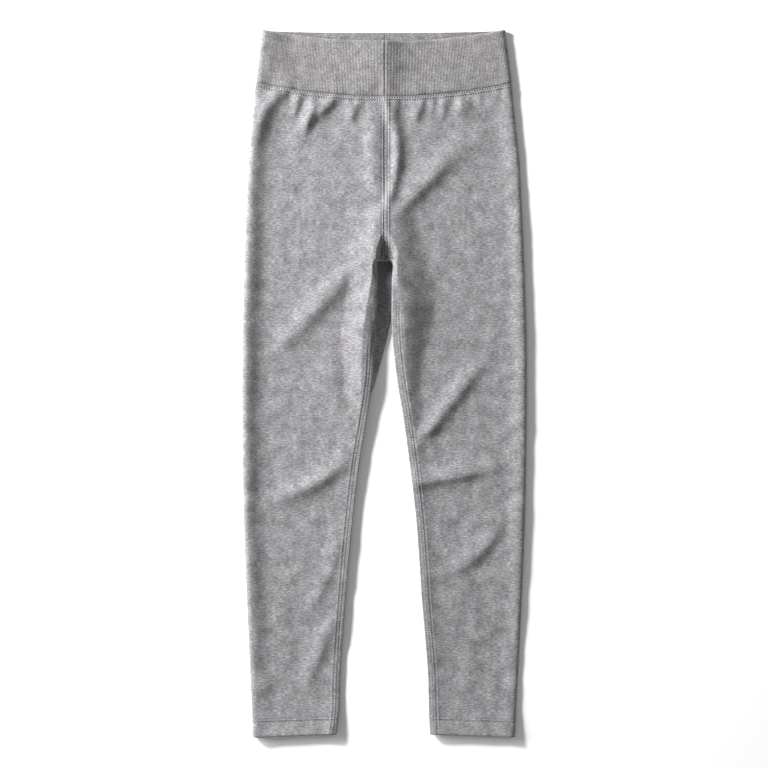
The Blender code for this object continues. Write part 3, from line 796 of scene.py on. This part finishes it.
def knitMaterial(name, look):
    material, tree = newMaterial(name)
    uv = addNode(tree, "UVMap", uv_map="cloth").outputs["UV"]
    face = knitFace

    def noiseAt(size, detail, seed, roughness=0.5):
        place = addNode(tree, "Mapping", {
            "Vector": uv, "Location": (seed * 3.7, seed * 1.9, seed),
            "Scale": (1.0 / size[0], 1.0 / size[1], 1.0),
        }).outputs["Vector"]
        return addNode(tree, "TexNoise", {
            "Vector": place, "Scale": 1.0, "Detail": detail, "Roughness": roughness,
        }).outputs["Fac"]

    def combine(kind, first, second):
        return addNode(tree, "Math", {0: first, 1: second}, operation=kind).outputs[0]

    fleck = noiseAt(look["fleck"], 2.0, 1.0, 0.6)
    fine = noiseAt(look["fine"], 2.0, 2.0, 0.7)
    yarn = addNode(tree, "Mix", {0: face["fineShare"], 2: fleck, 3: fine}, data_type="FLOAT").outputs[0]
    base = ramp(tree, yarn, (
        (0.35, tone(look["dark"])), (0.5, tone(look["middle"])), (0.64, tone(look["light"])),
    ))
    mottle = noiseAt((look["mottle"],) * 2, 3.0, 3.0, 0.6)
    shade = ramp(tree, mottle, ((0.3, grey(0.7)), (0.5, grey(1.0)), (0.7, grey(1.24))))
    mottled = addNode(tree, "Mix", {0: 1.0, 6: base, 7: shade}, data_type="RGBA", blend_type="MULTIPLY")
    tintNoise = noiseAt((26.0, 26.0), 2.0, 4.0)
    tint = ramp(tree, tintNoise, ((0.36, tone(look["cool"])), (0.64, tone(look["warm"]))))
    tinted = addNode(tree, "Mix", {0: face["tintShare"], 6: mottled.outputs[2], 7: tint},
                     data_type="RGBA", blend_type="COLOR")
    speckNoise = noiseAt((1.3, 0.9), 1.0, 5.0)
    speckWhere = ramp(tree, speckNoise, ((0.66, grey(0.0)), (0.74, grey(0.85))))
    specked = addNode(tree, "Mix", {0: speckWhere, 6: tinted.outputs[2], 7: tone(look["speck"])},
                      data_type="RGBA")
    # painted shade from the mesh's attribute, mixed into the colour
    paintedShade = addNode(tree, "Attribute", attribute_name="paintedShade").outputs["Fac"]
    shadePainted = combine("MULTIPLY", paintedShade, face["shadeStrength"])
    final = addNode(tree, "Mix", {0: shadePainted, 6: specked.outputs[2], 7: tone(face["shadeTone"])},
                    data_type="RGBA")
    wale, course = look["knit"]
    stitches = addNode(tree, "Mapping", {
        "Vector": uv, "Scale": (math.tau / wale, math.tau / course, 1.0),
    }).outputs["Vector"]
    parts = addNode(tree, "SeparateXYZ", {0: stitches})
    waleWave = addNode(tree, "Math", {0: parts.outputs[0]}, operation="SINE").outputs[0]
    courseWave = addNode(tree, "Math", {0: parts.outputs[1]}, operation="SINE").outputs[0]
    knit = combine("MULTIPLY", waleWave, courseWave)
    fuzz = combine("MULTIPLY", yarn, face["fuzzRise"])
    relief = addNode(tree, "Math", {0: knit, 1: face["stitchRise"], 2: fuzz}, operation="MULTIPLY_ADD")
    bump = addNode(tree, "Bump", {
        "Strength": look["bump"], "Distance": face["bumpDistance"] * mm, "Height": relief.outputs[0],
    })
    shader = addNode(tree, "BsdfPrincipled", {    # sheen: the hairs catch light at a low angle
        "Base Color": final.outputs[2], "Roughness": 0.92, "Specular IOR Level": 0.2,
        "Sheen Weight": 0.25, "Sheen Roughness": 0.6, "Normal": bump.outputs[0],
    })
    addNode(tree, "OutputMaterial", {"Surface": shader.outputs[0]})
    return material


# Spun polyester sewing thread: smoother than the knit and a little brighter. It is about
# 0.3 mm thick and is drawn thicker, and its twist coarser, to show.
threadLook = {
    "light": "adacaf", "dark": "919093",
    "twist": 900.0,    # turns of the noise in a metre
}


def threadMaterial(look):
    material, tree = newMaterial("spunPolyesterThread")
    place = addNode(tree, "TexCoord").outputs["Object"]
    scaled = addNode(tree, "Mapping", {"Vector": place, "Scale": (look["twist"],) * 3}).outputs["Vector"]
    noise = addNode(tree, "TexNoise", {"Vector": scaled, "Scale": 1.0, "Detail": 1.0}).outputs["Fac"]
    colour = ramp(tree, noise, ((0.35, tone(look["dark"])), (0.65, tone(look["light"]))))
    shader = addNode(tree, "BsdfPrincipled", {
        "Base Color": colour, "Roughness": 0.7, "Sheen Weight": 0.15,
    })
    addNode(tree, "OutputMaterial", {"Surface": shader.outputs[0]})
    return material


jerseyCloth = knitMaterial("heatherJersey", jersey)
ribCloth = knitMaterial("heatherRib", rib)
thread = threadMaterial(threadLook)
print("materials made")


def makeLeg(name, side):
    grids, paintedShade, flags, drops = [], [], [], []
    for sideDrop, depth, shift in legStations():
        points, shadePainted, closed = legRow(side, sideDrop, depth, shift)
        grids.append(points)
        paintedShade.append(shadePainted)
        flags.append(closed)
        drops.append((sideDrop, depth))
    mesh = gridMesh(name, grids, flags, paintedShade, side > 0)
    piece = addPiece(name, mesh, jerseyCloth)
    thicken(piece, legs["cloth"])
    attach(piece, "root")
    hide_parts(name)
    return piece, grids, drops


pieces = {}
cloth = {}
for legName, legSide in (("leg_left", -1), ("leg_right", 1)):
    pieces[legName], *cloth[legName] = makeLeg(legName, legSide)
    print(legName, "made:", len(pieces[legName].data.polygons), "faces")


band = {
    "cloth": 1.0,
    "height": 56.0,
    "halfTop": (122.6, 120.6),    # left and right
    "halfBottom": (128.9, 127.2),
    "foldReach": 4.8,    # depth of the side fold, seen from above
    "foldSteps": 40,
    "columns": 527,    # about 0.5 mm each
    "frontDip": 11.3,    # the top edge hangs down by this at the centre
    "backDip": 2.0,
    "seamGap": 0.1,
    "levelShare": 0.5,    # up to this height it takes on the leg's level at the seam
    "round": 1.1,    # radius of the folded top edge
    "rim": 0.45,    # that edge stands up a little
    "rimFrom": (0.96, 0.025),
    "ribPitch": 3.0,
    "ribStart": 0.9,
    "ribRise": 0.22,
    "ribPower": 0.8,    # below 1 the grooves are wider than the ribs
    "ribStopFrom": (0.955, 0.03),
    "fan": 0.085,    # the ribs spread by this share from seam to top
    "centreDip": (0.55, 0.55),    # depth and width of the centre seams
    "insideDip": 0.3,
    "waistDip": (0.5, 0.9),
    "backShare": 0.8,    # of this relief, on the back
    # painted shade in the rib grooves, at the centre seams and along the waist seam's ditch
    "ribShade": (0.55, 0.3),    # depth that it starts at, and strength
    "centreShade": 0.7,
    "waistShade": (0.6, 0.7),    # strength and width
    "ripple": 0.14,
    "seamRows": (0.0, 0.008, 0.018),
    "plainRows": (0.035, 1.0, 22),
    "turnRows": 8,
    "insideRows": 16,
}
# height of the band's front face, by x
bandLevel = (
    (-128, 9.0), (-116, 9.4), (-106, 7.6), (-94, 5.7), (-75, 5.6), (-50, 6.4), (-34, 7.4),
    (-18, 9.2), (-7, 10.3), (1, 10.5), (8, 8.8), (16, 6.5), (24, 5.1), (34, 4.5), (60, 5.0), (85, 5.9),
    (100, 6.8), (112, 7.8), (120, 8.1), (128, 8.1),
)
bandRipple = makeRipple(23, 12.0, 40.0, 20)


def bandRow(side, share, depth, shift):
    # one row of a half band, from centre front round the side to centre back
    reach = band["foldReach"]
    halfTop = bySide(band["halfTop"], side)
    foldX = mix(bySide(band["halfBottom"], side), halfTop, share) - reach
    flat = foldX - legs["centreGap"]
    level = fadeIn(share, 0.0, band["levelShare"])
    seamRise = legTop(side, np.array([side * foldX]), np.array([float(seamDrop(foldX))]))[0]
    rise = float(mix(seamRise, curve(bandLevel, side * foldX), level))
    turns = np.linspace(math.pi, 0.0, band["foldSteps"] + 1)
    arc = runLength(np.stack((reach * np.sin(turns), rise / 2.0 - rise / 2.0 * np.cos(turns)), axis=1))
    total = 2.0 * flat + arc[-1]
    s = np.linspace(0.0, total, band["columns"] + 1)
    onFront, pastFold = s <= flat, s - flat - arc[-1]
    turn = np.interp(s - flat, arc, turns)    # half a turn on the front and none on the back
    x = foldX + reach * np.sin(turn) - np.maximum(pastFold, 0.0)
    x = np.where(onFront, s + legs["centreGap"], x)
    flatLevel = mix(legTop(side, side * x, seamDrop(x)), curve(bandLevel, side * x), level)
    z = np.where(onFront, flatLevel, rise / 2.0 - rise / 2.0 * np.cos(turn))
    up = share * band["height"]
    pitch = band["ribPitch"] * (1.0 + band["fan"] * (share - 0.5))
    wave = 0.5 + 0.5 * np.cos(math.tau * (s + band["ribStart"]) / pitch)
    ribDepth = band["ribRise"] * (1.0 - wave ** band["ribPower"])
    ribDepth = ribDepth * (1.0 - fadeIn(share, *band["ribStopFrom"]))
    dip, dipWidth = band["centreDip"]
    seamDip = dip * bell(s / dipWidth) + dip * bell((total - s) / dipWidth)
    swell = band["ripple"] * bandRipple(side * x, up) * (turn / math.pi)
    if depth > 0:
        inward = depth - ribDepth - band["insideDip"] * seamDip
    else:
        edge = band["waistDip"][0] * bell(up / band["waistDip"][1])
        inward = ribDepth + seamDip + edge - band["rim"] * fadeIn(share, *band["rimFrom"])
        inward = inward * np.where(pastFold >= 0.0, band["backShare"], 1.0)
    across = clampTo(x / halfTop, 0.0, 1.0)
    frontTop = band["frontDip"] * (1.0 - across**2) + band["round"]
    backTop = band["backDip"] * (1.0 - across**4) + band["round"]
    frontDrop = mix(seamDrop(x) - band["seamGap"], frontTop, share)
    backDrop = mix(backSeamDrop(x) - band["seamGap"], backTop, share)
    drop = mix(frontDrop, backDrop, smooth(1.0 - turn / math.pi)) - shift
    height = np.maximum(z + swell + np.cos(turn) * inward, 0.0)
    points = np.stack((side * (x - np.sin(turn) * inward), drop, height), axis=1)
    # painted shade in the rib grooves, the centre seams' dips and the waist seam's ditch
    shadeFrom, shadeShare = band["ribShade"]
    paintedShade = clampTo((ribDepth / band["ribRise"] - shadeFrom) * shadeShare, 0.0, 1.0)
    paintedShade = paintedShade + band["centreShade"] * clampTo(seamDip, 0.0, 1.0)
    if depth == 0:
        paintedShade = np.maximum(paintedShade, band["waistShade"][0] * bell(up / band["waistShade"][1]))
    return points, paintedShade


def makeBand(name, side):
    turn = band["round"]
    stations = [(share, 0.0, 0.0) for share in (*band["seamRows"], *np.linspace(*band["plainRows"]))]
    stations += [(1.0, depth, shift) for depth, shift in turnedEdge(turn, band["turnRows"])]
    stations += [(share, 2 * turn, 0.0) for share in evenly(1.0, 0.0, band["insideRows"])]
    grids, paintedShade = zip(*[bandRow(side, *station) for station in stations])
    mesh = gridMesh(name, grids, [False] * len(grids), paintedShade, side < 0)
    piece = addPiece(name, mesh, ribCloth)
    thicken(piece, band["cloth"])
    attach(piece, "root")
    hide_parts(name)
    return piece


for bandName, bandSide in (("waistband_left", -1), ("waistband_right", 1)):
    pieces[bandName] = makeBand(bandName, bandSide)
    print(bandName, "made:", len(pieces[bandName].data.polygons), "faces")


# Size and spacing of the stitches. At the centre front they lie across the seam.
stitching = {
    "waist": {"pitch": 2.6, "length": 1.3, "width": 1.5, "thickness": 0.9, "seed": 3},
    "inseam": {"pitch": 2.6, "length": 1.3, "width": 0.7, "thickness": 0.4, "seed": 5},
    "centre": {"pitch": 1.35, "length": 0.75, "width": 3.6, "thickness": 0.5, "seed": 9},
    "hem": {"pitch": 2.6, "length": 1.7, "width": 0.55, "thickness": 0.35, "seed": 7},
}
spread = 0.05                  # unevenness of the spacing, as a share
centreRows = (12, 212.0)       # first row of the grid, and last drop, with centre stitches
centreColumn = 2


def stitchForm():    # one stitch, a short rounded bar of 48 triangles
    bpy.ops.object.select_all(action="DESELECT")
    bpy.ops.mesh.primitive_uv_sphere_add(
        segments=6, ring_count=5, radius=0.5, location=(0, 0, 0), rotation=(0, math.pi / 2, 0))
    bar = bpy.context.object
    bpy.ops.object.transform_apply(location=False, rotation=True, scale=False)
    bpy.ops.object.mode_set(mode="EDIT")
    bpy.ops.mesh.select_mode(type="VERT")
    bpy.ops.mesh.select_all(action="DESELECT")
    bpy.ops.object.mode_set(mode="OBJECT")
    for vertex in bar.data.vertices:    # the two middle rings
        vertex.select = abs(vertex.co.x) < 0.2
    bpy.ops.object.mode_set(mode="EDIT")
    bpy.ops.transform.resize(value=(1.6, 1.04, 1.04))    # a longer, straight middle
    bpy.ops.object.mode_set(mode="OBJECT")
    points = np.array([vertex.co for vertex in bar.data.vertices])
    faces = [tuple(face.vertices) for face in bar.data.polygons]
    bpy.data.objects.remove(bar)
    return points, faces


def alongLine(line, up, pitch, seed):    # places, directions and normals at even steps
    run = runLength(line)
    dice = random.Random(seed)
    at = [pitch * (k + 0.5 + dice.uniform(-spread, spread)) for k in range(int(run[-1] / pitch))]

    def valuesAt(values, ahead=0.0):
        return np.stack([np.interp(np.array(at) + ahead, run, values[:, k]) for k in range(3)], axis=1)
    return valuesAt(line), valuesAt(line, 0.4) - valuesAt(line, -0.4), valuesAt(up)


def makeStitches(name, lines, size):
    form, formFaces = stitchForm()
    scaled = form * (size["length"], size["width"], size["thickness"])
    points, faces = [], []
    for number, (line, up) in enumerate(lines):
        for place, direction, normal in zip(*alongLine(line, up, size["pitch"], size["seed"] + number)):
            ahead = direction / np.linalg.norm(direction)
            top = normal - ahead * np.dot(normal, ahead)
            top /= np.linalg.norm(top)
            beside = np.cross(top, ahead)
            start = len(points) * len(form)
            points.append(place + scaled[:, :1] * ahead + scaled[:, 1:2] * beside + scaled[:, 2:] * top)
            faces.extend([start + k for k in face] for face in formFaces)
    mesh = bpy.data.meshes.new(name)
    mesh.from_pydata((np.concatenate(points) * mm).tolist(), [], faces)
    piece = addPiece(name, mesh, thread)
    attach(piece, "root")
    return piece


def clothLine(grids, side, picks):    # a line on a leg's face and the face's normals, in mm
    line = np.array([toMetres(grids[i][j:j + 1])[0] / mm for i, j in picks])
    normals = []
    for i, j in picks:
        here = grids[i]
        left, right = here[max(j - 1, 0)], here[min(j + 1, len(here) - 1)]
        above, below = grids[max(i - 1, 0)], grids[min(i + 1, len(grids) - 1)]
        upDown = below[min(j, len(below) - 1)] - above[min(j, len(above) - 1)]
        normal = np.cross((right - left) * (1, -1, 1), upDown * (1, -1, 1))
        normals.append(normal / (np.linalg.norm(normal) + 1e-9))
    return line, np.array(normals) * -side


def sewLeg(grids, drops, side, word):
    openWidth, fullWidth = len(grids[0]), len(grids[-1])
    sideDrops = np.array([drop for drop, _ in drops])
    onFace = np.array([depth == 0 for _, depth in drops])
    firstSeam = int(np.argmax(sideDrops >= sum(bySide(inseamFrom, side)) / 2.0))
    hemEnd = int(np.max(np.nonzero(onFace)))
    waistRows = [round(needle / rows["waistStep"]) for needle in waistNeedles]
    hemRows = [
        int(np.argmin(np.where(onFace, abs(garmentLength - sideDrops - needle), np.inf)))
        for needle in hemNeedles
    ]
    needleColumn = round(inseamNeedle / rows["seamStep"])
    seams = [
        ("waist", word, [[(i, j) for j in range(openWidth)] for i in waistRows]),
        ("inseam", word, [
            [(i, j) for i in range(firstSeam, hemEnd)] for j in (needleColumn, fullWidth - needleColumn)
        ]),
    ]
    if side > 0:
        lastOpen = int(np.argmax(sideDrops >= centreRows[1]))
        seams.append(("centre", "front", [[(i, centreColumn) for i in range(centreRows[0], lastOpen)]]))
    seams.append(("hem", word, [[(i, j) for j in (*range(fullWidth), 0)] for i in hemRows]))
    for kind, place, lists in seams:
        name = "thread_" + kind + "_" + place
        lines = [clothLine(grids, side, picks) for picks in lists]
        pieces[name] = makeStitches(name, lines, stitching[kind])


for word, legSide in (("left", -1), ("right", 1)):
    sewLeg(*cloth["leg_" + word], legSide, word)
print("stitching made")

# matt white studio paper: even, with no gloss
bpy.ops.mesh.primitive_plane_add(size=6.0, location=(0, 0, 0))
floor = bpy.context.object
floor.name = "floor"
floorMaterial, floorTree = newMaterial("mattWhitePaper")
floorNoise = addNode(floorTree, "TexNoise", {
    "Vector": addNode(floorTree, "TexCoord").outputs["Object"], "Scale": 3.0, "Detail": 2.0,
}).outputs["Fac"]
floorColour = ramp(floorTree, floorNoise, ((0.3, grey(0.92)), (0.7, grey(0.94))))
floorShader = addNode(floorTree, "BsdfPrincipled", {"Base Color": floorColour, "Roughness": 0.9})
addNode(floorTree, "OutputMaterial", {"Surface": floorShader.outputs[0]})
floor.data.materials.append(floorMaterial)

studio = {
    "cameraHeight": 2.133,    # metres above the cloth's front
    "clothTop": 6.0,
    "cameraAt": (-0.8, -0.55),
    "lens": 100.0,
    "sensor": 36.0,
    "key": {"turn": 35.0, "rise": 31.0, "away": 1.8, "size": 0.34, "power": 59.0},
    "fill": {"turn": 15.0, "rise": 18.0, "away": 2.2, "size": 1.4, "power": 66.0},
    "ambient": 0.34,
}
camera = bpy.data.objects.new("camera", bpy.data.cameras.new("camera"))
bpy.context.scene.collection.objects.link(camera)
camera.data.lens = studio["lens"]
camera.data.sensor_width = studio["sensor"]
cameraX, cameraY = studio["cameraAt"]
camera.location = (cameraX * mm, cameraY * mm, studio["cameraHeight"] + studio["clothTop"] * mm)
bpy.context.scene.camera = camera


def addLight(name, light):    # turn: from the left towards the waist
    turn, rise = math.radians(light["turn"]), math.radians(light["rise"])
    data = bpy.data.lights.new(name, "AREA")
    data.shape = "DISK"
    data.size = light["size"]
    data.energy = light["power"]
    lamp = bpy.data.objects.new(name, data)
    bpy.context.scene.collection.objects.link(lamp)
    away = Vector((-math.cos(rise) * math.cos(turn), math.cos(rise) * math.sin(turn), math.sin(rise)))
    lamp.location = away * light["away"]
    lamp.rotation_mode = "QUATERNION"
    lamp.rotation_quaternion = away.to_track_quat("Z", "Y")


addLight("keyLight", studio["key"])
addLight("fillLight", studio["fill"])
world = bpy.data.worlds.new("studio")
bpy.context.scene.world = world
world.use_nodes = True
world.node_tree.nodes["Background"].inputs["Color"].default_value = (1, 1, 1, 1)
world.node_tree.nodes["Background"].inputs["Strength"].default_value = studio["ambient"]
bpy.context.scene.view_settings.view_transform = "Standard"
print("studio made")
